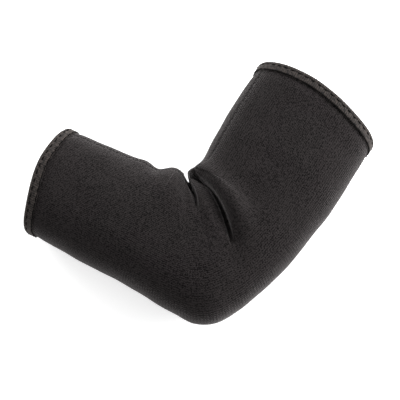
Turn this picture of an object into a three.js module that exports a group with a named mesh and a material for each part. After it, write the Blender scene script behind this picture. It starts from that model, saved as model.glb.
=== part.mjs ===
// Slip-on elbow sleeve: one bent, tapering tube of foam cloth, with a tape bound over each opening's edge.
//
// Millimetres and degrees, +Z up. The sleeve lies on its side on the plane z = 0. The origin is on that
// plane, below the point where the axis of the forearm part, which runs towards -X, crosses the upper arm
// part's axis.
import * as THREE from "three";

// Lengths along the arm, and the bend
const forearmLength = 136; // crossing of the axes to the middle of the wrist opening
const upperArmLength = 137.5; // crossing of the axes to the middle of the upper opening
const bendAngle = 95; // between the two axes, on the side of the crook

// Widths across the bend, and the elbow
const wristWidth = 80;
const forearmWidth = 87; // beside the crook
const upperArmWidth = 96; // beside the crook
const shoulderWidth = 103; // at the upper opening
const elbowReach = 113; // middle of the crook's round to the point of the elbow
const crookRadius = 8; // of the round that the cloth turns through in the crook

// Thickness of the tube as it lies, from the surface below it to its top
const wristDepth = 54;
const elbowDepth = 64;
const shoulderDepth = 67;
const sectionPower = 2.4; // of the rounded sections: 2 is an ellipse, and more is boxier
const restFlat = 1.6; // how much of the round the cloth's weight flattens where it rests

// The openings' edges
const wristSlant = 4; // how much further the edge reaches on the crook's side than in the middle
const shoulderSlant = 4.5;
const wristBow = 5; // how far the edge bows out in the middle of each face
const shoulderBow = 5;

// Cloth and tape
const wall = 3; // foam cloth
const hemWall = 2.2; // the same cloth, pressed thinner by the tape sewn over it
const hemWidth = 6.2; // of the tape on each face
const tape = 0.9;
const fitGap = 0.3; // between the tape and the cloth
const hemRamp = 7; // length over which the cloth thins and lifts towards the tape

// Creases and rolls that the bend pushes up in the crook
const creaseDepth = 9; // of the deepest
const creaseWidth = 2.6; // of its flanks
const creaseRound = 1.2; // radius at its bottom
const rollHeight = 5; // of the highest roll
const rollWidth = 7.5; // of its flanks
const foldFoot = 21; // height above the surface below, from which the folds have their full size

// Facets
const aroundSteps = 56; // round each section
const forearmSteps = 5; // sections along the forearm part, between the tape and the elbow
const elbowSteps = 22; // sections in the elbow's fan
const upperArmSteps = 5;
const roundSteps = 3; // round the cloth's edge and the tape's fold
const foldSteps = 20; // along each fold's line
const crowdAngle = 55; // the sections' points crowd together here, by the folds
const crowdShare = 0.42;
const elbowCrowdShare = 0.3; // and so do the elbow's sections, by the middle of the bend

// Each section spans from the crook's side to the outer side of the arm. On the arm parts, at runs from
// the crook (0) to the opening (1), inner and outer are shares of half the part's width, and depth is the
// share of the way from elbowDepth to the opening's depth. In the elbow, at runs through the bend from the
// forearm (0) to the upper arm (1), and reach and depth are shares of elbowReach and elbowDepth.
const SECTIONS = [
  { part: "forearm", at: 1.0, inner: 1.0, outer: 1.0, depth: 1.0 },
  { part: "forearm", at: 0.5, inner: 1.0, outer: 1.0, depth: 0.55 },
  { part: "forearm", at: 0.0, inner: 1.0, outer: 0.98, depth: 0.0 },
  { part: "elbow", at: 0.14, reach: 0.86, depth: 1.0 },
  { part: "elbow", at: 0.28, reach: 0.932, depth: 0.99 },
  { part: "elbow", at: 0.37, reach: 0.998, depth: 0.98 },
  { part: "elbow", at: 0.46, reach: 1.01, depth: 0.98 },
  { part: "elbow", at: 0.56, reach: 0.977, depth: 0.98 },
  { part: "elbow", at: 0.7, reach: 0.934, depth: 0.99 },
  { part: "elbow", at: 0.86, reach: 0.916, depth: 1.0 },
  { part: "upper arm", at: 0.0, inner: 0.96, outer: 1.0, depth: 0.0 },
  { part: "upper arm", at: 0.3, inner: 0.99, outer: 1.045, depth: 0.35 },
  { part: "upper arm", at: 0.6, inner: 0.985, outer: 1.045, depth: 0.65 },
  { part: "upper arm", at: 1.0, inner: 0.945, outer: 1.015, depth: 1.0 },
];

// Seen from above, each fold runs along a curve from one point over a second, which draws it aside, to a
// third. A point is a turn, which is the share of the bend from the forearm to the upper arm, and a reach
// from the centre of the crook's round, which is a share of elbowReach. height and width are shares of the
// sizes above. rise is the share of the fold's length over which it rises before it starts, and from the
// share fade on it dies out.
const CREASES = [
  // short crease
  { from: [0.5, 0.11], over: [0.53, 0.25], to: [0.49, 0.42], height: 0.7, width: 0.8, rise: 0.15, fade: 0.4 },
  // long crease
  { from: [0.56, 0.13], over: [1.06, 0.25], to: [0.645, 0.72], height: 1, width: 1, rise: 0.06, fade: 0.6 },
];
const ROLLS = [
  // forearm's roll, beside the short crease
  { from: [-0.5, 0.055], over: [0.12, 0.18], to: [0.28, 0.55], height: 0.9, width: 1.25, rise: 0.2, fade: 0 },
  // tongue between the creases
  { from: [0.5, 0.13], over: [0.67, 0.38], to: [0.56, 0.7], height: 0.5, width: 0.65, rise: 0.1, fade: 0.4 },
  // upper arm's roll, over the long crease
  { from: [1.1, 0.13], over: [0.97, 0.44], to: [0.75, 0.76], height: 1, width: 1, rise: 0.2, fade: 0.5 },
];

const radians = THREE.MathUtils.degToRad;
const mix = THREE.MathUtils.lerp;
const smooth = THREE.MathUtils.smoothstep;
const fullTurn = 2 * Math.PI;

// Plan of the sleeve. Across is the direction from the crook's side to the outer side, square to a part's
// axis.
const bendTurn = Math.PI - radians(bendAngle);
const forearmAcross = -Math.PI / 2;
const directionAt = (angle) => new THREE.Vector2(Math.cos(angle), Math.sin(angle));
const forearmAxis = directionAt(Math.PI);
const upperArmAxis = directionAt(bendTurn);

// The centre of the crook's round is crookRadius outside the inner edge of both parts.
const forearmToCrook = forearmWidth / 2 + crookRadius;
const upperArmToCrook = upperArmWidth / 2 + crookRadius;
const crookAlongForearm = (upperArmToCrook - forearmToCrook * Math.cos(bendTurn)) / Math.sin(bendTurn);
const crookAlongUpperArm = (forearmToCrook - upperArmToCrook * Math.cos(bendTurn)) / Math.sin(bendTurn);
const crook = new THREE.Vector2(-crookAlongForearm, forearmToCrook);

// The cloth's edge lies inside the tape's, and the tape stands proud of the cloth's face.
const tapeStand = fitGap + tape;
const tapeProud = hemWall / 2 + tapeStand - wall / 2;
const ARMS = {
  forearm: {
    axis: forearmAxis,
    across: forearmAcross,
    toCrook: forearmToCrook,
    halfWidths: [forearmWidth / 2, wristWidth / 2],
    depth: wristDepth,
    length: forearmLength - crookAlongForearm - tapeStand,
    slant: wristSlant,
    bow: wristBow,
  },
  "upper arm": {
    axis: upperArmAxis,
    across: forearmAcross + bendTurn,
    toCrook: upperArmToCrook,
    halfWidths: [upperArmWidth / 2, shoulderWidth / 2],
    depth: shoulderDepth,
    length: upperArmLength - crookAlongUpperArm - tapeStand,
    slant: shoulderSlant,
    bow: shoulderBow,
  },
};

// The sleeve's own length coordinate: -1 is the wrist opening, 0 to 1 the bend, and 2 the upper opening.
function rowOf({ part, at, inner, outer, reach, depth }) {
  if (part === "elbow") {
    return { u: at, near: crookRadius, far: reach * elbowReach, depth: depth * elbowDepth };
  }
  const arm = ARMS[part];
  const half = mix(arm.halfWidths[0], arm.halfWidths[1], at);
  return {
    u: part === "forearm" ? -at : 1 + at,
    near: arm.toCrook - inner * half,
    far: arm.toCrook + outer * half,
    depth: mix(elbowDepth, arm.depth, depth),
  };
}
const ROWS = SECTIONS.map(rowOf);

// A smooth curve through one column of the rows: each stretch is a cubic that leaves and arrives with the
// slope between the rows on both sides.
function slopeAt(column, k) {
  const before = ROWS[Math.max(k - 1, 0)];
  const after = ROWS[Math.min(k + 1, ROWS.length - 1)];
  return (after[column] - before[column]) / (after.u - before.u);
}
function along(column, u) {
  let k = 0;
  while (k < ROWS.length - 2 && u > ROWS[k + 1].u) k += 1;
  const [a, b] = [ROWS[k], ROWS[k + 1]];
  const span = b.u - a.u;
  const t = THREE.MathUtils.clamp((u - a.u) / span, 0, 1);
  const beyond = u - (a.u + t * span);
  const [slopeA, slopeB] = [slopeAt(column, k) * span, slopeAt(column, k + 1) * span];
  const inside =
    a[column] * (1 + 2 * t) * (1 - t) ** 2 + b[column] * t * t * (3 - 2 * t) +
    slopeA * t * (1 - t) ** 2 - slopeB * t * t * (1 - t);
  return inside + beyond * slopeAt(column, t > 0 ? k + 1 : k);
}

const armAt = (u) => (u < 0 ? ARMS.forearm : u > 1 ? ARMS["upper arm"] : null);
const shareAt = (u) => (u < 0 ? -u : u - 1);

// Length from the crook's section to the edge of the opening, at one angle round the section. Angle 0 is
// the crook's side, 90 degrees the top and 180 the outer side.
function armSpan(arm, angle) {
  return arm.length + arm.slant * Math.cos(angle) + arm.bow * Math.sin(angle) ** 2;
}

// How far the tape shapes the cloth, at a distance from its edge: 1 at the tape, and 0 where the ramp ends.
function hemShare(fromEdge) {
  return 1 - smooth(fromEdge, hemWidth, hemWidth + hemRamp);
}

// The tube before its folds: a rounded section, flattened where it rests, and lifted there by the tape
// below it.
function tubePoint(u, angle) {
  const [near, far, depth] = [along("near", u), along("far", u), along("depth", u)];
  const half = (far - near) / 2;
  const high = (depth + restFlat) / 2;
  const cosine = Math.cos(angle);
  const sine = Math.sin(angle);
  const powers = Math.abs(cosine / half) ** sectionPower + Math.abs(sine / high) ** sectionPower;
  const radius = powers ** (-1 / sectionPower);
  const arm = armAt(u);
  const across = arm ? arm.across : forearmAcross + u * bendTurn;
  const plan = directionAt(across).multiplyScalar((near + far) / 2 - radius * cosine).add(crook);
  let lift = 0;
  if (arm) {
    const span = armSpan(arm, angle);
    plan.addScaledVector(arm.axis, span * shareAt(u));
    lift = tapeProud * hemShare(span * (1 - shareAt(u)));
  }
  const z = depth - high + radius * sine;
  return new THREE.Vector3(plan.x, plan.y, Math.max(z, lift));
}

// Outward normal of the tube, from its slopes along and around.
function tubeNormal(u, angle) {
  const step = 0.004;
  const lengthwise = tubePoint(u + step, angle).sub(tubePoint(u - step, angle));
  const round = tubePoint(u, angle + step).sub(tubePoint(u, angle - step));
  return round.cross(lengthwise).normalize();
}

// A fold's line in short straight steps, and where a point of the plan lies beside it: t is the share of
// the way along it, below 0 before its start, and d the distance from it.
function crookPoint([turn, reach]) {
  return directionAt(forearmAcross + turn * bendTurn).multiplyScalar(reach * elbowReach).add(crook);
}
function lineOf({ from, over, to }) {
  const curve = new THREE.QuadraticBezierCurve(crookPoint(from), crookPoint(over), crookPoint(to));
  return curve.getSpacedPoints(foldSteps);
}
function besideLine(line, place) {
  const last = line.length - 2;
  const beside = line.slice(0, -1).map((start, k) => {
    const step = line[k + 1].clone().sub(start);
    const free = place.clone().sub(start).dot(step) / step.lengthSq();
    const share = THREE.MathUtils.clamp(free, k === 0 ? -Infinity : 0, k === last ? Infinity : 1);
    return { t: (k + share) / (last + 1), d: start.clone().addScaledVector(step, share).distanceTo(place) };
  });
  return beside.reduce((best, each) => (each.d < best.d ? each : best));
}

// Height of the folds over the tube. A crease is a groove with a rounded bottom, and a roll is a soft
// ridge.
function creaseShape(d, width) {
  return Math.exp((creaseRound - Math.hypot(d, creaseRound)) / (width * creaseWidth));
}
function rollShape(d, width) {
  return Math.exp(-((d / (width * rollWidth)) ** 2));
}
const FOLD_LINES = [
  ...CREASES.map((fold) => ({ ...fold, line: lineOf(fold), shape: creaseShape, size: -creaseDepth })),
  ...ROLLS.map((fold) => ({ ...fold, line: lineOf(fold), shape: rollShape, size: rollHeight })),
];
function foldHeight(x, y) {
  const place = new THREE.Vector2(x, y);
  return FOLD_LINES.reduce((sum, { line, shape, size, height, width, rise, fade }) => {
    const { t, d } = besideLine(line, place);
    const strength = smooth(t, -rise, 0) * (1 - smooth(t, fade, 1));
    return sum + strength * size * height * shape(d, width);
  }, 0);
}

// The cloth's surface: under is how far below the outer face the point lies. The folds die out towards the
// floor.
function clothPoint(u, angle, under) {
  const base = tubePoint(u, angle);
  const normal = tubeNormal(u, angle);
  const folded = foldHeight(base.x, base.y) * smooth(base.z, 0, foldFoot);
  return base.addScaledVector(normal, folded - under);
}

// Even steps from one value to another, without the last, and the same steps crowded together in the
// middle.
function evenSteps(from, to, count) {
  return Array.from({ length: count }, (_, k) => mix(from, to, k / count));
}
function crowdedSteps(count, share) {
  return evenSteps(0, 1, count).map((s) => s + (share / fullTurn) * Math.sin(fullTurn * s));
}
const ANGLES = crowdedSteps(aroundSteps, crowdShare).map((s) => radians(crowdAngle) + fullTurn * (s - 0.5));

// A closed solid from rows of points round the sleeve, the last row joined to the first. Each quad is
// split along its shorter diagonal, so that faces that lie over each other bend alike.
function ringGeometry(rows) {
  const count = rows.length;
  const points = rows.flat();
  const positions = points.flatMap((point) => point.toArray());
  const indices = [];
  for (let i = 0; i < count; i += 1) {
    for (let j = 0; j < aroundSteps; j += 1) {
      const [i2, j2] = [(i + 1) % count, (j + 1) % aroundSteps];
      const [a, b] = [i * aroundSteps + j, i * aroundSteps + j2];
      const [c, d] = [i2 * aroundSteps + j, i2 * aroundSteps + j2];
      const split = points[a].distanceTo(points[d]) < points[b].distanceTo(points[c]);
      indices.push(...(split ? [a, b, d, a, d, c] : [a, b, c, b, d, c]));
    }
  }
  const geometry = new THREE.BufferGeometry();
  geometry.setAttribute("position", new THREE.Float32BufferAttribute(positions, 3));
  geometry.setIndex(indices);
  geometry.computeVertexNormals();
  return geometry;
}

// A row of points at a distance from the cloth's edge, measured along the face of one arm part.
function edgeRow(arm, side, fromEdge, under) {
  return ANGLES.map((angle) => {
    const share = 1 - fromEdge / armSpan(arm, angle);
    return clothPoint(side < 0 ? -share : 1 + share, angle, under);
  });
}
const fullRow = (u, under) => ANGLES.map((angle) => clothPoint(u, angle, under));

// The cloth is pressed thinner under the tape, evenly on both faces.
function pressed(fromEdge) {
  return ((wall - hemWall) / 2) * hemShare(fromEdge);
}

// Half a turn from the outer face to the inner one, round a centre that lies in the middle of the wall.
function edgeRound(radius, steps) {
  return Array.from({ length: steps + 1 }, (_, k) => {
    const turn = (Math.PI * k) / steps;
    return { fromEdge: hemWall / 2 - radius * Math.sin(turn), under: wall / 2 - radius * Math.cos(turn) };
  });
}

// The sleeve's cloth: the outer face from the wrist to the upper arm, round the edge, and back along the
// inside.
function clothGeometry() {
  const fromEdges = [hemWidth, hemWidth + hemRamp / 2, hemWidth + hemRamp];
  const round = edgeRound(hemWall / 2, roundSteps);
  const rampShare = (arm) => (hemWidth + hemRamp) / arm.length;
  const middle = [
    ...evenSteps(rampShare(ARMS.forearm) - 1, 0, forearmSteps).slice(1),
    ...crowdedSteps(elbowSteps, elbowCrowdShare),
    ...evenSteps(1, 2 - rampShare(ARMS["upper arm"]), upperArmSteps),
  ];
  const face = (under) => [
    ...fromEdges.map((s) => edgeRow(ARMS.forearm, -1, s, under(s))),
    ...middle.map((u) => fullRow(u, under(Infinity))),
    ...fromEdges.map((s) => edgeRow(ARMS["upper arm"], 1, s, under(s))).reverse(),
  ];
  const edge = (arm, side) => round.map(({ fromEdge, under }) => edgeRow(arm, side, fromEdge, under));
  return ringGeometry([
    ...face(pressed),
    ...edge(ARMS["upper arm"], 1),
    ...face((s) => wall - pressed(s)).reverse(),
    ...edge(ARMS.forearm, -1).reverse(),
  ]);
}

// The tape: a strip folded over the cloth's edge, with a leg on each face.
function tapeGeometry(arm, side) {
  const inside = hemWall / 2 + fitGap;
  const strip = (radius) => [
    { fromEdge: hemWidth, under: wall / 2 - radius },
    ...edgeRound(radius, roundSteps),
    { fromEdge: hemWidth, under: wall / 2 + radius },
  ];
  const profile = [...strip(inside + tape), ...strip(inside).reverse()];
  const rows = profile.map(({ fromEdge, under }) => edgeRow(arm, side, fromEdge, under));
  return ringGeometry(side < 0 ? rows.reverse() : rows);
}

// The finished look of each piece
const clothFinish = new THREE.MeshStandardMaterial({ color: 0x2b292a, roughness: 0.92, metalness: 0 });
const tapeFinish = new THREE.MeshStandardMaterial({ color: 0x37332f, roughness: 0.88, metalness: 0 });

function piece(name, geometry, material) {
  const mesh = new THREE.Mesh(geometry, material);
  mesh.name = name;
  return mesh;
}

const brace = new THREE.Group();
brace.name = "elbow_brace";
brace.add(piece("sleeve", clothGeometry(), clothFinish));
brace.add(piece("wrist_tape", tapeGeometry(ARMS.forearm, -1), tapeFinish));
brace.add(piece("upper_arm_tape", tapeGeometry(ARMS["upper arm"], 1), tapeFinish));

export default brace;
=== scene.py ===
"""Slip-on elbow sleeve of black foam cloth, with a knitted tape bound over the edge of each opening.

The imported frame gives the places, and this script gives the looks. Lengths are in millimetres in the
classes and in metres in the meshes, with +Z up. The sleeve lies on its side on the floor at z = 0. Its
surface is one function of two parameters: u runs from the wrist opening (-1) through the bend (0 to 1) to
the upper opening (2), and the angle runs round the section, with 0 on the crook's side, 90 degrees on top
and 180 on the outer side.
"""

import logging
import math
from dataclasses import dataclass, field
from enum import Enum
from typing import Any

import bpy
import numpy as np
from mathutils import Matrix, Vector

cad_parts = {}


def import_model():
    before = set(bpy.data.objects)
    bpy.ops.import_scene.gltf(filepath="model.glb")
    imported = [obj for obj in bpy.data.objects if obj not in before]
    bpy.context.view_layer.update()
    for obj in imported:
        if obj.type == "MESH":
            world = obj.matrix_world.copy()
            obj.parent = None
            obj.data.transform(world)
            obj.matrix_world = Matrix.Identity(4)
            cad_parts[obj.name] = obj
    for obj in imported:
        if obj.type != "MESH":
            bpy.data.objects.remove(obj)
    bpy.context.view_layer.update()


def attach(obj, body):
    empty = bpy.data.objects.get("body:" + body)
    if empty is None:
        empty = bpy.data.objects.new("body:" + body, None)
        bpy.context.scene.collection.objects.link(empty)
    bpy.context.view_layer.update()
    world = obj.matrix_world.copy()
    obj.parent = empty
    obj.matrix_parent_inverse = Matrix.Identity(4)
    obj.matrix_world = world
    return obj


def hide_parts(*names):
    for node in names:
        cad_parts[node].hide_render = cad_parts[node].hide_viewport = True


LOG = logging.getLogger("elbow_sleeve")
MM = 0.001
MATH = "ShaderNodeMath"
FULL_TURN = 2 * math.pi
Array = np.ndarray
Tree = bpy.types.NodeTree
Socket = bpy.types.NodeSocket
Piece = bpy.types.Object
Material = bpy.types.Material


class Opening(Enum):
    """The two openings, each with the sign of the way that u runs out to it."""

    WRIST = -1
    UPPER = 1


class Face(Enum):
    """The two faces of the cloth, each with the sign of its offset from the middle of the wall."""

    OUTER = 1
    INNER = -1


def smooth(x: Array, low: float, high: float) -> Array:
    """Smooth step: 0 below low, 1 above high, and t * t * (3 - 2 t) between them."""
    t = np.clip((x - low) / (high - low), 0.0, 1.0)
    return t * t * (3 - 2 * t)


def crowded(count: int, share: float) -> Array:
    """Steps from 0 to 1 without the last, crowded together in the middle.

    Each even step s is moved by share / 2 pi times the sine of 2 pi s.

    Args:
        count: number of steps.
        share: how strongly they crowd, from 0 to below 1.

    Returns:
        The steps, as one row.
    """
    s = np.arange(count) / count
    return s + share / FULL_TURN * np.sin(FULL_TURN * s)


def run_along(line: Array) -> Array:
    """Length along a line of points: the summed steps between them, from 0 at the first."""
    return np.concatenate([[0], np.cumsum(np.linalg.norm(np.diff(line, axis=0), axis=1))])


def linear(colour: str) -> tuple[float, float, float, float]:
    """Turns an sRGB hex colour into linear light.

    Args:
        colour: six hex digits after a hash sign.

    Returns:
        Red, green, blue and an alpha of 1.
    """
    shares = [int(colour[k : k + 2], 16) / 255 for k in (1, 3, 5)]
    light = [c / 12.92 if c <= 0.04045 else ((c + 0.055) / 1.055) ** 2.4 for c in shares]
    return (*light, 1.0)


def add_node(tree: Tree, kind: str, inputs: dict[Any, Any] | None = None, **settings: Any) -> bpy.types.Node:
    """Adds a node with its settings, and sets or links its inputs.

    Args:
        tree: the tree that the node is for.
        kind: the node's type name.
        inputs: input names or numbers, each with a value or with the socket that feeds it.
        **settings: the node's own properties.

    Returns:
        The node.
    """
    node = tree.nodes.new(kind)
    for name, value in settings.items():
        setattr(node, name, value)
    for key, value in (inputs or {}).items():
        if isinstance(value, Socket):
            tree.links.new(value, node.inputs[key])
        else:
            node.inputs[key].default_value = value
    return node


def new_material(name: str) -> tuple[Material, Tree]:
    """Makes a material without nodes.

    Args:
        name: the material's name.

    Returns:
        The material and its node tree.
    """
    material = bpy.data.materials.new(name)
    material.use_nodes = True
    material.node_tree.nodes.clear()
    return material, material.node_tree


def add_surface(
    tree: Tree, settings: dict[str, Any], height: Socket, relief: float, depth_mm: float
) -> None:
    """Gives a material its surface and its relief.

    Args:
        tree: the material's node tree.
        settings: the surface's inputs, each with a value or a socket.
        height: the pattern that the relief follows.
        relief: how strongly it follows it, from 0 to 1.
        depth_mm: the relief's depth.
    """
    inputs = {"Height": height, "Strength": relief, "Distance": depth_mm * MM}
    bump = add_node(tree, "ShaderNodeBump", inputs)
    shader = add_node(tree, "ShaderNodeBsdfPrincipled", {**settings, "Normal": bump.outputs["Normal"]})
    add_node(tree, "ShaderNodeOutputMaterial", {"Surface": shader.outputs[0]})


def mesh_object(
    name: str, points: Array, quads: Array, caps: Array | None = None, uv: Array | None = None
) -> Piece:
    """Makes a smooth-shaded object at the origin from arrays.

    Args:
        name: the object's name.
        points: vertices in millimetres, n by 3.
        quads: four vertex numbers for each face, counterclockwise from outside.
        caps: vertex numbers of each end cap, one row for each.
        uv: a pair for each corner of the quads, in millimetres of cloth.

    Returns:
        The object, linked to the scene.
    """
    mesh = bpy.data.meshes.new(name)
    caps = np.empty((0, 3), int) if caps is None else caps
    corners = np.concatenate([quads.ravel(), caps.ravel()]).astype(np.int32)
    starts = np.concatenate(
        [np.arange(len(quads)) * 4, len(quads) * 4 + np.arange(len(caps)) * caps.shape[1]]
    ).astype(np.int32)
    mesh.vertices.add(len(points))
    mesh.vertices.foreach_set("co", (points * MM).astype(np.float32).ravel())
    mesh.loops.add(len(corners))
    mesh.loops.foreach_set("vertex_index", corners)
    mesh.polygons.add(len(starts))
    mesh.polygons.foreach_set("loop_start", starts)
    mesh.polygons.foreach_set("use_smooth", np.ones(len(starts), bool))
    if uv is not None:
        layer = mesh.uv_layers.new(name="cloth_mm")
        padded = np.zeros((len(corners), 2), np.float32)
        padded[: len(uv)] = uv
        layer.data.foreach_set("uv", padded.ravel())
    mesh.update(calc_edges=True)
    mesh.validate()
    thing = bpy.data.objects.new(name, mesh)
    bpy.context.scene.collection.objects.link(thing)
    return thing


def ring_object(name: str, rows: Array, uv_rows: Array, uv_turn: Array) -> Piece:
    """Makes a closed surface from rows of points, each row a ring, the last row joined to the first.

    Args:
        name: the object's name.
        rows: points in millimetres, rows by columns by 3.
        uv_rows: the pattern's place at each point, rows by columns by 2.
        uv_turn: what one whole turn round a row adds to the pattern's place, as a pair.

    Returns:
        The object.
    """
    n, m = rows.shape[:2]
    i, j = np.meshgrid(np.arange(n), np.arange(m), indexing="ij")
    i2, j2 = (i + 1) % n, (j + 1) % m
    quads = np.stack([i * m + j, i * m + j2, i2 * m + j2, i2 * m + j], axis=-1).reshape(-1, 4)
    uv = uv_rows.reshape(-1, 2)[quads]
    wraps = (j == m - 1).reshape(-1)
    uv[wraps, 1:3] += uv_turn
    return mesh_object(name, rows.reshape(-1, 3), quads, uv=uv.reshape(-1, 2))


def thread_object(name: str, paths: Array, outward: Array, radius: float) -> Piece:
    """Makes many short lengths of thread, each a closed tube round its path.

    Every ring is the path's point plus the radius times the cosine of the turn along the outward
    direction and its sine across it. The radius shrinks towards both ends of a path.

    Args:
        name: the object's name.
        paths: points in millimetres, threads by points by 3.
        outward: a direction away from the cloth for each point, of the same shape.
        radius: the thread's radius in millimetres.

    Returns:
        The object.
    """
    sides = 6
    count, length = paths.shape[:2]
    tangent = np.gradient(paths, axis=1)
    tangent /= np.linalg.norm(tangent, axis=2, keepdims=True)
    up = outward - tangent * (outward * tangent).sum(axis=2, keepdims=True)
    up /= np.linalg.norm(up, axis=2, keepdims=True)
    across = np.cross(tangent, up)
    turn = FULL_TURN * np.arange(sides) / sides
    taper = np.sin(np.linspace(0.12, 0.88, length) * math.pi) ** 0.5 * radius
    ring = up[:, :, None] * np.cos(turn)[:, None] + across[:, :, None] * np.sin(turn)[:, None]
    points = paths[:, :, None] + ring * taper[:, None, None]
    first = np.arange(count) * length * sides
    k, s = np.meshgrid(np.arange(length - 1), np.arange(sides), indexing="ij")
    s2 = (s + 1) % sides
    quad = np.stack([k * sides + s, k * sides + s2, (k + 1) * sides + s2, (k + 1) * sides + s], axis=-1)
    quads = (first[:, None, None] + quad.reshape(-1, 4)).reshape(-1, 4)
    start = first[:, None] + np.arange(sides)[::-1]
    end = first[:, None] + (length - 1) * sides + np.arange(sides)
    along = np.linspace(0, 1, length)
    grid = np.stack(np.broadcast_arrays(along[:, None], np.arange(sides)[None, :] / sides), axis=-1)
    uv = np.tile(grid.reshape(-1, 2)[quad.reshape(-1)], (count, 1))
    return mesh_object(name, points.reshape(-1, 3), quads, np.concatenate([start, end]), uv)


@dataclass(frozen=True)
class Section:
    """One section of the tube, in shares of the sizes that TubeForm gives.

    Attributes:
        at: run from the crook (0) to the opening (1), or through the bend (0 to 1).
        far: outer share of half the part's width, or share of the elbow's reach.
        depth: share of the way from the elbow's depth to the opening's, or of the elbow's depth.
        near: inner share of half the part's width.
    """

    at: float
    far: float
    depth: float
    near: float = 1.0


@dataclass(frozen=True)
class ArmPart:
    """One arm part of the tube.

    Attributes:
        opening: the opening at its end.
        axis: direction of its axis in plan, in radians.
        to_crook: distance of its axis from the centre of the crook's round.
        half_widths: half its width beside the crook and at the opening.
        depth: thickness of the tube at the opening.
        length: from the crook's section to the cloth's edge, at the middle of the opening.
        slant: how much further the edge reaches on the crook's side.
        bow: how far the edge bows out in the middle of each face.
    """

    opening: Opening
    axis: float
    to_crook: float
    half_widths: tuple[float, float]
    depth: float
    length: float
    slant: float
    bow: float = 5.0

    def span(self, angle: Array) -> Array:
        """Length to the cloth's edge at an angle: length + slant * cosine + bow * sine squared."""
        return self.length + self.slant * np.cos(angle) + self.bow * np.sin(angle) ** 2

    def share(self, u: Array) -> Array:
        """Share of the way from the crook's section to the edge, below 0 off this part."""
        return -u if self.opening is Opening.WRIST else u - 1


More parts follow.
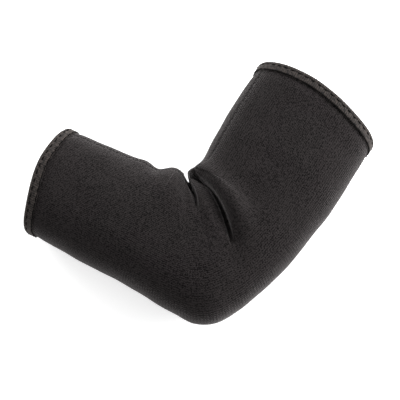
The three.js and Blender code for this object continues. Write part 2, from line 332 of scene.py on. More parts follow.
@dataclass
class TubeForm:
    """The empty sleeve as a bent tube of rounded sections, before its folds."""

    forearm_length: float = 136.0
    upper_arm_length: float = 137.5
    bend_angle: float = 95.0
    wrist_width: float = 80.0
    forearm_width: float = 87.0
    upper_arm_width: float = 96.0
    shoulder_width: float = 103.0
    elbow_reach: float = 113.0
    crook_radius: float = 8.0
    wrist_depth: float = 54.0
    elbow_depth: float = 64.0
    shoulder_depth: float = 67.0
    section_power: float = 2.4
    rest_flat: float = 1.6
    wall: float = 3.0
    hem_wall: float = 2.2
    hem_width: float = 6.6
    hem_ramp: float = 7.0
    tape: float = 0.9
    fit_gap: float = 0.3
    forearm: tuple[Section, ...] = (Section(1.0, 1.0, 1.0), Section(0.5, 1.0, 0.55), Section(0.0, 0.98, 0.0))
    elbow: tuple[Section, ...] = (
        Section(0.14, 0.86, 1.0),
        Section(0.28, 0.932, 0.99),
        Section(0.37, 0.998, 0.98),
        Section(0.46, 1.01, 0.98),
        Section(0.56, 0.977, 0.98),
        Section(0.7, 0.934, 0.99),
        Section(0.86, 0.916, 1.0),
    )
    upper_arm: tuple[Section, ...] = (
        Section(0.0, 1.0, 0.0, near=0.945),
        Section(0.3, 1.045, 0.35, near=0.975),
        Section(0.6, 1.045, 0.65, near=0.985),
        Section(1.0, 1.015, 1.0, near=0.945),
    )

    def __post_init__(self) -> None:
        """Works out the plan, the two arm parts and the rows of sections."""
        self.bend_turn = math.pi - math.radians(self.bend_angle)
        self.tape_stand = self.fit_gap + self.tape
        self.tape_proud = self.hem_wall / 2 + self.tape_stand - self.wall / 2
        to_forearm = self.forearm_width / 2 + self.crook_radius
        to_upper = self.upper_arm_width / 2 + self.crook_radius
        cosine, sine = math.cos(self.bend_turn), math.sin(self.bend_turn)
        along_forearm = (to_upper - to_forearm * cosine) / sine
        along_upper = (to_forearm - to_upper * cosine) / sine
        self.crook = np.array([-along_forearm, to_forearm])
        halves = (self.forearm_width / 2, self.wrist_width / 2)
        length = self.forearm_length - along_forearm - self.tape_stand
        forearm = ArmPart(Opening.WRIST, math.pi, to_forearm, halves, self.wrist_depth, length, slant=4.0)
        halves = (self.upper_arm_width / 2, self.shoulder_width / 2)
        length = self.upper_arm_length - along_upper - self.tape_stand
        upper = ArmPart(
            Opening.UPPER, self.bend_turn, to_upper, halves, self.shoulder_depth, length, slant=4.5
        )
        self.parts = {Opening.WRIST: forearm, Opening.UPPER: upper}
        rows = [self._arm_row(Opening.WRIST, s) for s in self.forearm]
        for s in self.elbow:
            rows.append((s.at, self.crook_radius, s.far * self.elbow_reach, s.depth * self.elbow_depth))
        rows.extend(self._arm_row(Opening.UPPER, s) for s in self.upper_arm)
        self.rows = np.array(rows)
        last = len(rows) - 1
        number = np.arange(last + 1)
        step = self.rows[np.minimum(number + 1, last)] - self.rows[np.maximum(number - 1, 0)]
        self.slopes = step[:, 1:] / step[:, :1]

    def _arm_row(self, opening: Opening, section: Section) -> tuple[float, float, float, float]:
        """Works out one section of an arm part.

        Args:
            opening: names the arm part.
            section: its shares.

        Returns:
            u, the distances of its two sides from the crook's centre, and its depth.
        """
        part = self.parts[opening]
        half = part.half_widths[0] + (part.half_widths[1] - part.half_widths[0]) * section.at
        depth = self.elbow_depth + (part.depth - self.elbow_depth) * section.depth
        u = -section.at if opening is Opening.WRIST else 1 + section.at
        return (u, part.to_crook - section.near * half, part.to_crook + section.far * half, depth)

    def along(self, u: Array) -> Array:
        """Smooth curves through the rows of sections.

        Between two rows each value is the cubic that leaves and arrives with the slopes between the
        rows on both sides, and beyond the last row it runs on straight.

        Args:
            u: the length coordinate.

        Returns:
            Near side, far side and depth, stacked in front of u's shape.
        """
        knots = self.rows[:, 0]
        k = np.clip(np.searchsorted(knots[1:], u, side="left"), 0, len(knots) - 2)
        span = knots[k + 1] - knots[k]
        t = np.clip((u - knots[k]) / span, 0, 1)
        beyond = u - (knots[k] + t * span)
        a, b = self.rows[k, 1:].T, self.rows[k + 1, 1:].T
        slope_a, slope_b = self.slopes[k].T, self.slopes[k + 1].T
        t, span, beyond = t.T, span.T, beyond.T
        inside = a * (1 + 2 * t) * (1 - t) ** 2 + b * t * t * (3 - 2 * t)
        inside = inside + span * (slope_a * t * (1 - t) ** 2 - slope_b * t * t * (1 - t))
        value = inside + beyond * np.where(t > 0, slope_b, slope_a)
        return np.stack([each.T for each in value])

    def arc(self, u: Array) -> Array:
        """Length round the section for one radian beside the crook, 0.9 of half the width."""
        near, far, _ = self.along(u)
        return 0.9 * (far - near) / 2

    def hem_share(self, from_edge: Array) -> Array:
        """How far the tape shapes the cloth: 1 at the tape and 0 where the ramp ends."""
        return 1 - smooth(from_edge, self.hem_width, self.hem_width + self.hem_ramp)

    def point(self, u: Array, angle: Array) -> Array:
        """Points of the tube before its folds.

        The section is a rounded box: one over its radius is the root of the summed powers of cosine
        over half the width and sine over half the depth. It is flattened where it rests, and the tape
        lifts it there.

        Args:
            u: the length coordinate.
            angle: the angle round the section, in radians.

        Returns:
            Points in millimetres, with a last axis of 3.
        """
        u, angle = np.broadcast_arrays(u, angle)
        near, far, depth = self.along(u)
        half, high = (far - near) / 2, (depth + self.rest_flat) / 2
        cosine, sine = np.cos(angle), np.sin(angle)
        powers = np.abs(cosine / half) ** self.section_power + np.abs(sine / high) ** self.section_power
        radius = powers ** (-1 / self.section_power)
        across = np.clip(u, 0, 1) * self.bend_turn - math.pi / 2
        reach = (near + far) / 2 - radius * cosine
        x = self.crook[0] + np.cos(across) * reach
        y = self.crook[1] + np.sin(across) * reach
        lift = np.zeros_like(x)
        for part in self.parts.values():
            share, span = part.share(u), part.span(angle)
            on = share > 0
            x = x + np.where(on, math.cos(part.axis) * span * share, 0)
            y = y + np.where(on, math.sin(part.axis) * span * share, 0)
            lift = lift + np.where(on, self.tape_proud * self.hem_share(span * (1 - share)), 0)
        return np.stack([x, y, np.maximum(depth - high + radius * sine, lift)], axis=-1)

    def normal(self, u: Array, angle: Array) -> Array:
        """Outward directions: the slope round the section crossed with the slope along it.

        Args:
            u: the length coordinate.
            angle: the angle round the section.

        Returns:
            Directions one unit long.
        """
        step = 0.004
        along = self.point(u + step, angle) - self.point(u - step, angle)
        around = self.point(u, angle + step) - self.point(u, angle - step)
        out = np.cross(around, along)
        return out / np.linalg.norm(out, axis=-1, keepdims=True)

    def edge_u(self, opening: Opening, from_edge: Array, angle: Array) -> Array:
        """The length coordinate at a distance from the cloth's edge, along the face."""
        share = 1 - from_edge / self.parts[opening].span(angle)
        return -share if opening is Opening.WRIST else 1 + share


@dataclass(frozen=True)
class Fold:
    """One crease or roll, along a curve seen from above.

    Attributes:
        start: where it starts, as a share of the bend and a share of the elbow's reach.
        over: the point that draws the curve aside.
        end: where it ends.
        height: in millimetres, below 0 for a crease.
        width: of its flanks, in millimetres.
        rise: share of its length over which it rises before it starts.
        fade: share of its length from which it dies out.
        tip: share of its width that it starts with.
        right: width of its right flank, as a share of the width.
        steep: how steeply its left and right flanks fall, 2 for a bell curve.
    """

    start: tuple[float, float]
    over: tuple[float, float]
    end: tuple[float, float]
    height: float
    width: float
    rise: float = 0.15
    fade: float = 0.5
    tip: float = 1.0
    right: float = 1.0
    steep: tuple[float, float] = (2, 2)

    def line(self, form: TubeForm) -> Array:
        """The curve in even steps: the quadratic Bezier curve of the three points.

        Args:
            form: the tube, which gives the places of the three points.

        Returns:
            25 points in plan.
        """
        turn, reach = np.array([self.start, self.over, self.end]).T
        angle = turn * form.bend_turn - math.pi / 2
        a, b, c = form.crook + (np.stack([np.cos(angle), np.sin(angle)]) * reach * form.elbow_reach).T
        t = np.linspace(0, 1, 200)[:, None]
        curve = a * (1 - t) ** 2 + 2 * b * t * (1 - t) + c * t * t
        run = run_along(curve)
        even = np.linspace(0, run[-1], 25)
        return np.stack([np.interp(even, run, curve[:, k]) for k in (0, 1)], axis=1)

    def beside(self, form: TubeForm, plan: Array) -> tuple[Array, Array]:
        """Where points lie beside the fold's line.

        Args:
            form: the tube.
            plan: points seen from above, with a last axis of 2.

        Returns:
            The share of the way along the line, and the distance from it, below 0 on its right side.
        """
        line = self.line(form)
        last = len(line) - 2
        best = np.full(plan.shape[:-1], np.inf)
        along, signed = np.zeros_like(best), np.zeros_like(best)
        for k in range(last + 1):
            step, offset = line[k + 1] - line[k], plan - line[k]
            share = (offset @ step) / (step @ step)
            share = np.clip(share, None if k == 0 else 0, None if k == last else 1)
            out = offset - share[..., None] * step
            distance = np.hypot(out[..., 0], out[..., 1])
            closer = distance < best
            side = np.sign(step[0] * out[..., 1] - step[1] * out[..., 0])
            best = np.where(closer, distance, best)
            along = np.where(closer, (k + share) / (last + 1), along)
            signed = np.where(closer, side * distance, signed)
        return along, signed


# start, over and end of the long crease, which is a slot in a valley
LONG_CREASE = ((0.79, 0.175), (0.797, 0.407), (0.64, 0.67))


@dataclass
class FoamCloth:
    """The sleeve's cloth: 3 mm foam faced with jersey on both sides, with the folds of the crook.

    Attributes:
        fold_foot: height above the floor below which the folds die out.
        crowd_angle: degrees at which the columns are closest together.
        crowd_share: how strongly they crowd there.
        uneven: heights of the long and the short waves of the cloth's own unevenness.
        panel_lengths: cloth along the forearm, through the bend and along the upper arm, for the knit.
        panel_girth: cloth round the sleeve, for the knit.
    """

    form: TubeForm = field(default_factory=TubeForm)
    fold_foot: float = 21.0
    folds: tuple[Fold, ...] = (
        # short crease
        Fold(
            (0.471, 0.14), (0.569, 0.231), (0.481, 0.385), -11.0, 1.7, fade=0.1, right=0.85, steep=(2.8, 2.2)
        ),
        # long crease, a deep slot in a soft valley
        Fold(*LONG_CREASE, -13.0, 2.1, fade=0.6, tip=0.7, right=0.9, steep=(7, 3)),
        Fold(*LONG_CREASE, -6.4, 3.8, right=1.45, steep=(1.4, 1.7)),
        # its start, which hooks round the tongue's tip
        Fold((0.52, 0.11), (0.802, 0.12), (0.786, 0.22), -13.0, 1.6, rise=0.12, fade=0.8, steep=(3, 3)),
        # where both run down the crook's side
        Fold((0.52, 0.05), (0.53, 0.09), (0.54, 0.13), -7.0, 1.5, rise=1.0, fade=0.9),
        # forearm's roll, beside the short crease
        Fold((-0.5, 0.055), (0.12, 0.18), (0.28, 0.55), 4.5, 8.6, rise=0.2, fade=0.0),
        # dip and swell before that roll
        Fold((-0.85, 0.12), (-0.6, 0.15), (-0.38, 0.23), -2.1, 5.8, rise=0.6, fade=0.2),
        Fold((-1.0, 0.2), (-0.8, 0.25), (-0.6, 0.3), 1.2, 5.0, rise=0.6, fade=0.2),
        # tongue between the creases
        Fold((0.6, 0.172), (0.667, 0.372), (0.575, 0.6), 2.5, 5.5, rise=0.15, fade=0.4, tip=0.8),
        # upper arm's roll, over the long crease
        Fold((1.06, 0.149), (0.9, 0.43), (0.76, 0.7), 5.2, 7.6, rise=0.17, fade=0.5, steep=(2, 3)),
        # knuckle where that roll turns down the crook's side
        Fold((0.68, 0.09), (0.88, 0.11), (0.93, 0.24), 0.8, 4.5, rise=0.4, fade=0.2),
        # hollow that the long crease runs out into
        Fold((0.68, 0.5), (0.66, 0.66), (0.6, 0.86), -1.3, 7.0, rise=0.3, fade=0.2),
    )
    around: int = 256
    crowd_angle: float = 55.0
    crowd_share: float = 0.5
    seam_angle: float = 24.0
    seam_depth: float = 0.3
    seam_width: float = 1.0
    uneven: tuple[float, float] = (0.22, 0.16)
    panel_lengths: tuple[float, float, float] = (85.0, 95.0, 88.0)
    panel_girth: float = 264.25

    def shape(self, u: Array, angle: Array, under: Array) -> Array:
        """Points of the cloth at a depth below its outer face.

        The folds, the seam's groove and a soft unevenness move the tube's point along its outward
        direction. Creases and rolls are bell curves across their lines, some with steeper flanks.
        Where creases meet, the deepest holds, and rolls add up. Both die out towards the floor.

        Args:
            u: the length coordinate.
            angle: the angle round the section.
            under: depth below the outer face, in millimetres.

        Returns:
            Points in millimetres, with a last axis of 3.
        """
        u, angle, under = np.broadcast_arrays(u, angle, under)
        base, out = self.form.point(u, angle), self.form.normal(u, angle)
        height, depth = np.zeros(u.shape), np.zeros(u.shape)
        for fold in self.folds:
            along, signed = fold.beside(self.form, base[..., :2])
            strength = smooth(along, -fold.rise, 0) * (1 - smooth(along, fold.fade, 1))
            width = fold.width * (fold.tip + (1 - fold.tip) * smooth(along, 0, 0.35))
            width = np.where(signed < 0, fold.right * width, width)
            steep = np.where(signed < 0, fold.steep[1], fold.steep[0])
            bell = fold.height * strength * np.exp(-(np.abs(signed / width) ** steep))
            if fold.height < 0:
                depth = np.minimum(depth, bell)
            else:
                height += bell
        x, y, z = np.moveaxis(base, -1, 0)
        long_waves, short_waves = self.uneven
        height += depth + long_waves * np.sin(x / 9.1 + 0.7) * np.sin(y / 11.3 + z / 14.0)
        height += short_waves * np.sin((x + y) / 6.3 + 1.9) * np.sin((x - y) / 7.9 + z / 9.0)
        foot = smooth(z, 0, self.fold_foot)
        seam = (angle - math.radians(self.seam_angle)) * self.form.arc(u)
        groove = self.seam_depth * np.exp(-((seam / self.seam_width) ** 2))
        return base + out * (height * foot - groove - under)[..., None]

    def pressed(self, from_edge: Array) -> Array:
        """How far the tape presses each face in, at a distance from the edge."""
        return (self.form.wall - self.form.hem_wall) / 2 * self.form.hem_share(from_edge)

    def _face(self, under_of: Any, arm_rows: int, elbow_rows: int, hem_rows: int) -> tuple[Array, Array]:
        """Rows of one face, from the wrist to the upper opening.

        Args:
            under_of: gives the depth below the outer face at a distance from the edge.
            arm_rows: rows along each arm part, closer together towards the bend.
            elbow_rows: rows through the bend.
            hem_rows: rows between the tape's edge and the end of the ramp.

        Returns:
            The length coordinate and the depth below the outer face, each rows by columns.
        """
        form = self.form
        end = form.hem_width + form.hem_ramp
        edges = np.linspace(form.hem_width - 1.0, end, hem_rows)
        wrist, upper = form.parts[Opening.WRIST], form.parts[Opening.UPPER]
        graded = (np.arange(arm_rows) / arm_rows) ** 1.5
        forearm = (end / wrist.length - 1) * graded[:0:-1]
        upper_arm = 1 + (1 - end / upper.length) * graded
        middle = np.concatenate([forearm, crowded(elbow_rows, share=0.3), upper_arm])
        angle = self.angles
        down = [form.edge_u(Opening.WRIST, s, angle) for s in edges]
        up = [form.edge_u(Opening.UPPER, s, angle) for s in edges[::-1]]
        level = [np.full_like(angle, u) for u in middle]
        distance = np.concatenate([edges, np.full(len(middle), np.inf), edges[::-1]])
        return np.array(down + level + up), np.repeat(under_of(distance)[:, None], len(angle), axis=1)

    def _edge(self, opening: Opening) -> tuple[Array, Array]:
        """Rows round the cloth's edge: half a turn of a round centred in the middle of the wall.

        Args:
            opening: names the edge.

        Returns:
            The length coordinate and the depth below the outer face, from the outer face to the inner.
        """
        form = self.form
        turn = np.linspace(0, math.pi, 7)
        radius = form.hem_wall / 2
        rows = [form.edge_u(opening, radius - radius * math.sin(t), self.angles) for t in turn]
        under = form.wall / 2 - radius * np.cos(turn)
        return np.array(rows), np.repeat(under[:, None], len(self.angles), axis=1)

    @property
    def angles(self) -> Array:
        """Angles of the columns, crowded together where the folds are."""
        return math.radians(self.crowd_angle) + FULL_TURN * (crowded(self.around, self.crowd_share) - 0.5)

    def build(self) -> Piece:
        """Builds the cloth as one closed surface: outer face, upper edge, inner face, wrist edge.

        Returns:
            The object.
        """
        form = self.form
        outer = self._face(self.pressed, arm_rows=28, elbow_rows=210, hem_rows=9)
        inner = self._face(lambda s: form.wall - self.pressed(s), arm_rows=13, elbow_rows=46, hem_rows=5)
        upper, wrist = self._edge(Opening.UPPER), self._edge(Opening.WRIST)
        u = np.concatenate([outer[0], upper[0], inner[0][::-1], wrist[0][::-1]])
        under = np.concatenate([outer[1], upper[1], inner[1][::-1], wrist[1][::-1]])
        rows = self.shape(u, self.angles, under)
        around = (self.angles - self.angles[0]) / FULL_TURN * self.panel_girth
        runs = (np.clip(u, -1, 0), np.clip(u, 0, 1), np.clip(u - 1, 0, 1))
        length = sum(run * mm for run, mm in zip(runs, self.panel_lengths))
        uv = np.stack(np.broadcast_arrays(around, length), axis=-1)
        return ring_object("foam_cloth_sleeve", rows, uv, np.array([self.panel_girth, 0.0]))


@dataclass
class StitchRow:
    """One row of stitches round a bound edge.

    Attributes:
        from_edge: distance of the row from the cloth's edge.
        pitch: from one stitch to the next.
        length: of the thread that shows.
        sink: how far the row pulls the tape in.
        width: of the dent that it makes.
    """

    from_edge: float
    pitch: float
    length: float
    sink: float
    width: float


@dataclass
class BoundEdge:
    """One opening's edge: a knitted tape folded over the cloth and sewn through with two rows.

    Attributes:
        uneven: how far the stitches stray along the row, slantwise and across it.
    """

    cloth: FoamCloth
    opening: Opening
    name: str
    rows: tuple[StitchRow, ...] = (
        # the first row's near-black threads are as long as their pitch and thick, so they join into one
        # unbroken dark line: partly real stitching, partly painted shade for the gap at the tape's cut edge
        StitchRow(from_edge=6.3, pitch=5.5, length=5.5, sink=0.6, width=0.5),
        StitchRow(from_edge=2.0, pitch=5.5, length=3.2, sink=0.28, width=0.6),
    )
    thread_radius: float = 0.4
    uneven: tuple[float, float, float] = (0.09, 0.12, 0.07)
    around: int = 720
    seed: int = 7

    def __post_init__(self) -> None:
        """Measures the hem, so that stitches can be placed by length along it."""
        form = self.cloth.form
        self.dense = np.linspace(-math.pi * 0.75, math.pi * 1.25, 1441)
        u = form.edge_u(self.opening, np.full_like(self.dense, 3.0), self.dense)
        self.run = run_along(self.cloth.shape(u, self.dense, np.zeros_like(u)))
        self.girth = float(self.run[-1])

    def angle_at(self, run: Array) -> Array:
        """The angle round the section at a length along the hem."""
        return np.interp(run % self.girth, self.run, self.dense)

    def waver(self, run: Array) -> Array:
        """The tape's uneven width in millimetres: two slow waves along the hem."""
        phase = run / self.girth * FULL_TURN
        return 0.16 * np.sin(11 * phase + 0.4 * self.seed) + 0.1 * np.sin(23 * phase + 1.3 * self.seed)

    def dent(self, from_edge: Array, run: Array) -> Array:
        """How far the stitches pull the tape in: a groove for each row, deeper at the needle holes.

        Args:
            from_edge: distance from the cloth's edge.
            run: length along the hem.

        Returns:
            The pull in millimetres.
        """
        total = np.zeros(np.broadcast_shapes(np.shape(from_edge), np.shape(run)))
        for row in self.rows:
            count = round(self.girth / row.pitch)
            holes = 0.5 + 0.5 * np.cos(FULL_TURN * run * count / self.girth)
            across = np.exp(-(((from_edge - row.from_edge) / row.width) ** 2))
            total = total + row.sink * across * (0.7 + 0.3 * holes)
        return total

    def surface(self, run: Array, s: Array, offset: float) -> tuple[Array, Array]:
        """The folded tape: one leg, half a turn round the cloth's edge, and the other leg.

        Args:
            run: length along the hem.
            s: way across the tape, from -1 at the outer leg's cut edge to 1 at the inner leg's.
            offset: from the middle of the wall to this face of the tape.

        Returns:
            Distance from the cloth's edge, and depth below the outer face.
        """
        form = self.cloth.form
        centre = form.hem_wall / 2
        width = form.hem_width + self.waver(run)
        leg = (width - centre) * np.clip((np.abs(s) - 0.5) * 2, 0, 1)
        turn = np.clip(s + 0.5, 0, 1) * math.pi
        dent = self.dent(centre + leg, run) * (offset > form.hem_wall / 2 + form.fit_gap)
        roll = 0.55 * smooth(leg, width - centre - 0.6, width - centre)
        radius = offset - (dent + roll) * (leg > 0)
        from_edge = centre + leg - radius * np.sin(turn) * (np.abs(s) <= 0.5)
        return from_edge, form.wall / 2 - radius * np.cos(turn)

    def build_tape(self) -> Piece:
        """Builds the tape as one closed surface, its outside joined to its inside at the cut edges.

        Returns:
            The object.
        """
        form = self.cloth.form
        run = np.arange(self.around) / self.around * self.girth
        inside = form.hem_wall / 2 + form.fit_gap * 0.35
        legs = np.linspace(0.5, 1.0, 26)
        s_out = np.concatenate([-legs[::-1], np.linspace(-0.5, 0.5, 13)[1:-1], legs])
        s_in = np.linspace(1.0, -1.0, 15)
        outer = self.surface(run[None, :], s_out[:, None], form.hem_wall / 2 + form.tape_stand)
        inner = self.surface(run[None, :], s_in[:, None], inside)
        from_edge, under = (np.concatenate(pair) for pair in zip(outer, inner))
        angle = self.angle_at(run)[None, :]
        u = form.edge_u(self.opening, from_edge, angle)
        rows = self.cloth.shape(u, angle, under)
        across = np.concatenate([s_out, s_in]) * 10
        uv = np.stack(np.broadcast_arrays(run[None, :], across[:, None]), axis=-1)
        if self.opening is Opening.WRIST:
            rows, uv = rows[::-1], uv[::-1]
        return ring_object(self.name + "_binding", rows, uv, np.array([self.girth, 0.0]))

    def build_stitches(self) -> Piece:
        """Builds every stitch of both rows, on the outer and the inner leg of the tape.

        Returns:
            The object.
        """
        form = self.cloth.form
        rng = np.random.default_rng(self.seed)
        paths, outward = [], []
        top = form.hem_wall / 2 + form.tape_stand
        for row in self.rows:
            count = round(self.girth / row.pitch)
            for face in Face:
                place = (np.arange(count) + 0.5) * self.girth / count
                place = place + rng.normal(0, self.uneven[0], count)
                along = np.linspace(-0.5, 0.5, 6)
                run = place[:, None] + along * row.length
                slant = rng.normal(0, self.uneven[1], count)[:, None] * along
                from_edge = row.from_edge + slant + rng.normal(0, self.uneven[2], count)[:, None]
                arch = np.cos(along * math.pi) ** 0.35 * 0.5 - 0.3
                height = top - self.dent(from_edge, run) + arch
                under = form.wall / 2 - face.value * height
                angle = self.angle_at(run)
                u = form.edge_u(self.opening, from_edge, angle)
                paths.append(self.cloth.shape(u, angle, under))
                outward.append(form.normal(u, angle) * face.value)
        paths, outward = np.concatenate(paths), np.concatenate(outward)
        return thread_object(self.name + "_stitches", paths, outward, self.thread_radius)


@dataclass
class ArmSeam:
    """The flat seam along the crook's side, closed by a zigzag of thread."""

    cloth: FoamCloth
    pitch: float = 2.6
    reach: float = 1.5
    thread_radius: float = 0.17
    seed: int = 3

    def build(self) -> Piece:
        """Builds the zigzag: each stitch runs slantwise across the seam and dives at both ends.

        Returns:
            The object.
        """
        form, rng = self.cloth.form, np.random.default_rng(self.seed)
        middle = math.radians(self.cloth.seam_angle)
        ends = [form.edge_u(opening, form.hem_width + 0.8, middle) for opening in Opening]
        dense = np.linspace(*ends, 1200)
        run = run_along(self.cloth.shape(dense, np.full_like(dense, middle), np.zeros_like(dense)))
        count = int(run[-1] / self.pitch)
        along = np.linspace(-0.5, 0.5, 7)
        place = (np.arange(count)[:, None] + 0.5 + along * 0.55) * self.pitch
        u = np.interp(place, run, dense)
        side = np.where(np.arange(count) % 2 == 0, 1.0, -1.0)[:, None]
        wander = rng.normal(0, 0.12, count)[:, None]
        angle = middle + (side * along * 2 * self.reach + wander) / form.arc(u)
        arch = np.cos(along * math.pi) ** 0.45 * 0.45 - 0.26
        paths = self.cloth.shape(u, angle, -np.broadcast_to(arch, u.shape))
        return thread_object("arm_seam_stitches", paths, form.normal(u, angle), self.thread_radius)


@dataclass(frozen=True)
class Finish:
    """What the finishes share: two colours for a pattern, and a surface with sheen and relief."""

    dark: str
    light: str
    bump_mm: float
    roughness: float
    specular: float
    sheen: float = 0.0
    sheen_roughness: float = 0.5
    sheen_colour: str = "#ffffff"

    def cover(
        self, tree: Tree, tone: Socket, ends: tuple[float, float], height: Socket, relief: float
    ) -> None:
        """Colours a pattern from dark to light and adds the surface.

        Args:
            tree: the material's node tree.
            tone: the pattern that is coloured.
            ends: its values at the dark and at the light colour.
            height: the pattern that the relief follows.
            relief: how strongly it follows it, from 0 to 1.
        """
        ramp = add_node(tree, "ShaderNodeValToRGB", {"Fac": tone})
        for stop, colour, end in zip(ramp.color_ramp.elements, (self.dark, self.light), ends):
            stop.color = linear(colour)
            stop.position = end
        settings = {
            "Base Color": ramp.outputs["Color"],
            "Roughness": self.roughness,
            "Specular IOR Level": self.specular,
            "Sheen Weight": self.sheen,
            "Sheen Roughness": self.sheen_roughness,
            "Sheen Tint": linear(self.sheen_colour),
        }
        add_surface(tree, settings, height, relief, self.bump_mm)


@dataclass(frozen=True)
class JerseyFinish(Finish):
    """Nylon jersey laminated on neoprene foam: dull black, with a fine knit and a soft pile that is
    lighter where it is seen along the surface."""

    dark: str = "#070606"
    light: str = "#262323"
    bump_mm: float = 0.45
    roughness: float = 0.86
    specular: float = 0.05
    sheen: float = 0.4
    sheen_roughness: float = 0.3
    sheen_colour: str = "#b9b4b4"
    mottle_mm: float = 1.05
    wale_mm: float = 1.5
    course_mm: float = 1.3

    def material(self) -> Material:
        """Makes the material.

        Two noises in the object's space mottle the colour and the height, at the size of a few loops
        of the knit. The knit's own chevrons follow the cloth: a sine across the wales plus a sine
        along the courses, which bends to a V in each wale. The knit is drawn about three times as
        coarse as the real one, because half a millimetre is finer than the render shows.

        Returns:
            The material.
        """
        material, tree = new_material("nylon jersey on neoprene")
        place = add_node(tree, "ShaderNodeTexCoord").outputs["Object"]
        fine = {"Vector": place, "Scale": 1 / (self.mottle_mm * MM), "Detail": 3.0, "Roughness": 0.65}
        grain = add_node(tree, "ShaderNodeTexNoise", fine).outputs["Fac"]
        # soft patches about 22 mm wide, where the pile lies differently
        wide = {"Vector": place, "Scale": 45.0, "Detail": 2.0}
        patches = add_node(tree, "ShaderNodeTexNoise", wide).outputs["Fac"]
        cloth = add_node(tree, "ShaderNodeUVMap", uv_map="cloth_mm").outputs["UV"]
        split = add_node(tree, "ShaderNodeSeparateXYZ", {"Vector": cloth}).outputs
        # way from the middle of the wale, 0 to a half
        side = split["X"]
        steps = (("DIVIDE", self.wale_mm), ("FRACT", 0), ("SUBTRACT", 0.5), ("ABSOLUTE", 0))
        for operation, number in steps:
            side = add_node(tree, MATH, {0: side, 1: number}, operation=operation).outputs[0]
        course = add_node(tree, MATH, {0: split["Y"], 1: self.course_mm}, operation="DIVIDE").outputs[0]
        loops = add_node(tree, MATH, {0: side, 1: 1.3, 2: course}, operation="MULTIPLY_ADD").outputs[0]
        for operation, number in (("MULTIPLY", FULL_TURN), ("SINE", 0)):
            loops = add_node(tree, MATH, {0: loops, 1: number}, operation=operation).outputs[0]
        ridge = add_node(tree, MATH, {0: side, 1: -2.0, 2: 1.0}, operation="MULTIPLY_ADD").outputs[0]
        knit = add_node(tree, MATH, {0: loops, 1: 0.3, 2: ridge}, operation="MULTIPLY_ADD").outputs[0]
        height = add_node(tree, MATH, {0: knit, 1: 0.45, 2: grain}, operation="MULTIPLY_ADD").outputs[0]
        mottle = add_node(tree, "ShaderNodeMapRange", {"Value": grain, "From Min": 0.4, "From Max": 0.64})
        tone = mottle.outputs[0]
        for pattern, share in ((knit, 0.45), (patches, 0.35)):
            tone = add_node(tree, MATH, {0: pattern, 1: share, 2: tone}, operation="MULTIPLY_ADD").outputs[0]
        self.cover(tree, tone, (0.36, 1.0), height, relief=0.9)
        return material


@dataclass(frozen=True)
class TapeFinish(Finish):
    """Knitted nylon binding tape: grey-brown heather, with fine ribs across the band."""

    dark: str = "#080707"
    light: str = "#38322f"
    bump_mm: float = 0.2
    roughness: float = 0.8
    specular: float = 0.2
    sheen: float = 0.1
    sheen_roughness: float = 0.4
    sheen_colour: str = "#c2b4ab"
    rib_mm: float = 1.5

    def material(self) -> Material:
        """Makes the material: ribs are a sine along the hem, and a noise drawn out across the band
        gives the heather of the yarns.

        Returns:
            The material.
        """
        material, tree = new_material("knitted nylon binding tape")
        cloth = add_node(tree, "ShaderNodeUVMap", uv_map="cloth_mm").outputs["UV"]
        ribs = add_node(tree, "ShaderNodeSeparateXYZ", {"Vector": cloth}).outputs["X"]
        drawn = add_node(tree, "ShaderNodeMapping", {"Vector": cloth, "Scale": (1.0, 0.8, 1.0)}).outputs[0]
        # bundles of yarn about 1.6 mm wide, as coarse as the render can show them
        heather = {"Vector": drawn, "Scale": 0.62, "Detail": 3.0, "Roughness": 0.7}
        yarn = add_node(tree, "ShaderNodeTexNoise", heather).outputs["Fac"]
        for operation, number in (("MULTIPLY", FULL_TURN / self.rib_mm), ("SINE", 0)):
            ribs = add_node(tree, MATH, {0: ribs, 1: number}, operation=operation).outputs[0]
        height = add_node(tree, MATH, {0: ribs, 1: 0.07, 2: yarn}, operation="MULTIPLY_ADD").outputs[0]
        self.cover(tree, height, (0.4, 0.63), height, relief=0.8)
        return material


@dataclass(frozen=True)
class ThreadFinish(Finish):
    """Twisted polyester thread: near black, a little glossier than the cloth, with slanting plies."""

    dark: str = "#010101"
    light: str = "#060606"
    bump_mm: float = 0.05
    roughness: float = 0.75
    specular: float = 0.05

    def material(self) -> Material:
        """Makes the material: the plies are a sine of the way along plus the way round the thread.

        Returns:
            The material.
        """
        material, tree = new_material("twisted polyester thread")
        cloth = add_node(tree, "ShaderNodeUVMap", uv_map="cloth_mm").outputs["UV"]
        split = add_node(tree, "ShaderNodeSeparateXYZ", {"Vector": cloth}).outputs
        # five turns of a ply to each stitch
        both = {0: split["X"], 1: 5.0, 2: split["Y"]}
        plies = add_node(tree, MATH, both, operation="MULTIPLY_ADD").outputs[0]
        for operation, number in (("MULTIPLY", FULL_TURN), ("SINE", 0)):
            plies = add_node(tree, MATH, {0: plies, 1: number}, operation=operation).outputs[0]
        share = add_node(tree, "ShaderNodeMapRange", {"Value": plies, "From Min": -1.0}).outputs[0]
        self.cover(tree, share, (0.0, 1.0), share, relief=0.5)
        return material


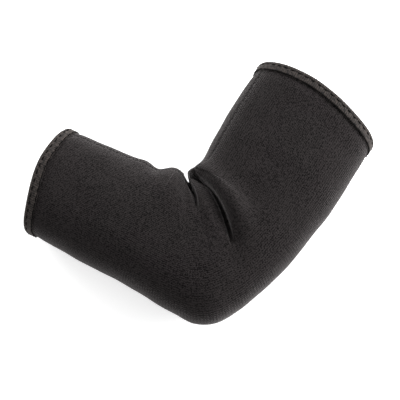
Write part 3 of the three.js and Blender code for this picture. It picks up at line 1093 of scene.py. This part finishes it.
@dataclass
class Studio:
    """A pale floor, soft light from the upper right and the camera at the photo's angle."""

    target: tuple[float, float, float] = (-0.030, 0.036, 0.030)
    azimuth: float = 26.9
    elevation: float = 76.0
    distance: float = 0.6235
    lens: float = 77.97
    floor_colour: str = "#f9f9f9"
    floor_side: float = 6.0
    floor_glow: float = 0.46
    surround: float = 0.76

    def place_camera(self) -> None:
        """Places the camera, which looks at the target."""
        azimuth, elevation = math.radians(self.azimuth), math.radians(self.elevation)
        level = math.cos(elevation)
        back = Vector((level * math.sin(azimuth), -level * math.cos(azimuth), math.sin(elevation)))
        camera = bpy.data.objects.new("camera", bpy.data.cameras.new("camera"))
        camera.data.lens = self.lens
        camera.data.clip_start = 0.01
        camera.location = Vector(self.target) + back * self.distance
        camera.rotation_euler = back.to_track_quat("Z", "Y").to_euler()
        bpy.context.scene.collection.objects.link(camera)
        bpy.context.scene.camera = camera

    def place_light(
        self, name: str, direction: tuple[float, float, float], away: float, size: float, power: float
    ) -> None:
        """Places one square soft light that faces the target.

        Args:
            name: the light's name.
            direction: from the target towards the light.
            away: its distance in metres.
            size: its side in metres.
            power: in watts.
        """
        light = bpy.data.lights.new(name, "AREA")
        light.energy = power
        light.size = size
        holder = bpy.data.objects.new(name, light)
        towards = Vector(direction).normalized()
        holder.location = Vector(self.target) + towards * away
        holder.rotation_euler = towards.to_track_quat("Z", "Y").to_euler()
        bpy.context.scene.collection.objects.link(holder)

    def build(self) -> None:
        """Makes the camera, the lights, the white surround and the floor."""
        scene = bpy.context.scene
        scene.view_settings.view_transform = "Standard"
        self.place_camera()
        self.place_light("soft key", (0.25, 0.95, 0.62), away=1.1, size=0.7, power=17.0)
        self.place_light("right rim", (0.82, 0.55, 0.25), away=1.0, size=0.5, power=13.0)
        self.place_light("left rim", (-0.9, 0.35, 0.15), away=1.0, size=0.5, power=9.0)
        world = bpy.data.worlds.new("white surround")
        world.use_nodes = True
        background = world.node_tree.nodes["Background"]
        background.inputs["Color"].default_value = linear("#ffffff")
        background.inputs["Strength"].default_value = self.surround
        scene.world = world
        self.lay_floor()

    def lay_floor(self) -> None:
        """Lays the floor: one flat sheet of paper, whose own faint glow keeps it white."""
        material, tree = new_material("matt white paper")
        place = add_node(tree, "ShaderNodeTexCoord").outputs["Object"]
        # fibres about a millimetre long
        fibre = add_node(tree, "ShaderNodeTexNoise", {"Vector": place, "Scale": 900.0, "Detail": 2.0})
        settings = {
            "Base Color": linear(self.floor_colour),
            "Roughness": 0.9,
            "Emission Color": linear("#ffffff"),
            "Emission Strength": self.floor_glow,
        }
        add_surface(tree, settings, fibre.outputs["Fac"], relief=0.1, depth_mm=0.1)
        signs = np.array([[-1, -1, 0], [1, -1, 0], [1, 1, 0], [-1, 1, 0]])
        floor = mesh_object("floor", signs * self.floor_side / 2 / MM, np.array([[0, 1, 2, 3]]))
        floor.data.materials.append(material)


def dress(thing: Piece, material: Material, slot: str, *nodes: str) -> None:
    """Gives a piece its material and its body, and hides the nodes that it replaces.

    Args:
        thing: the piece.
        material: its material.
        slot: name of the record's material slot; not used.
        *nodes: names of the nodes that it stands for.
    """
    thing.data.materials.append(material)
    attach(thing, "root")
    if nodes:
        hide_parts(*nodes)
    LOG.info("%s: %d faces", thing.name, len(thing.data.polygons))


def main() -> None:
    """Builds the stage, the cloth, the two bound edges and the seam."""
    logging.basicConfig(level=logging.INFO, format="%(message)s")
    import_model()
    Studio().build()
    finishes = (JerseyFinish(), TapeFinish(), ThreadFinish())
    jersey, tape, thread = (finish.material() for finish in finishes)
    cloth = FoamCloth()
    sleeve = cloth.build()
    dress(sleeve, jersey, "foam_cloth", "sleeve")
    for opening, name in ((Opening.WRIST, "wrist"), (Opening.UPPER, "upper_arm")):
        edge = BoundEdge(cloth, opening, name)
        dress(edge.build_tape(), tape, "edge_tape", name + "_tape")
        dress(edge.build_stitches(), thread, "edge_tape")
    dress(ArmSeam(cloth).build(), thread, "foam_cloth")


if __name__ == "__main__":
    main()
